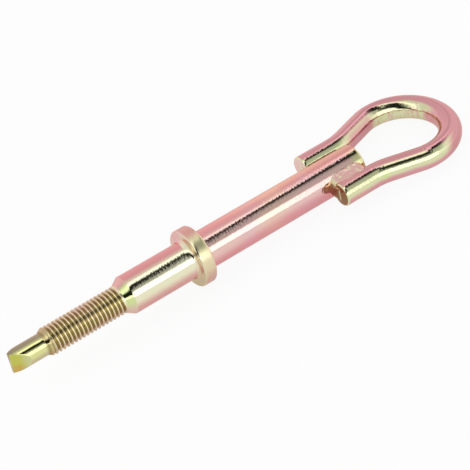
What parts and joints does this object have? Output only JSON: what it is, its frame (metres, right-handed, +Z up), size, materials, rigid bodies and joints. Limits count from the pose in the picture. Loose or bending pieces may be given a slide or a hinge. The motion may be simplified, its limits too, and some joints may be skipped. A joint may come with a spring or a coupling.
{
  "type": "towing eye",
  "caption": "Screw-in towing eye: turned steel shank with collar, thread and chisel tip, and a bent rod loop welded to its end, in yellow zinc plating.",
  "frame": {"origin": "centre of the collar's seat face, on the shank's axis", "axes": "+X along the shank from the chisel tip towards the loop, the loop lies in the XY plane, +Z up across the loop"},
  "size_m": [0.2162, 0.05, 0.0244],
  "materials": {
    "plated_steel": "bright yellow passivated zinc plating with a pink and green sheen",
    "plated_rod": "bright yellow passivated zinc plating with a pink and green sheen",
    "plated_weld": "rippled weld metal under the same plating"
  },
  "bodies": {
    "root": {"shank": "plated_steel", "eye_loop": "plated_rod", "near_weld": "plated_weld", "far_weld": "plated_weld"}
  },
  "joints": []
}
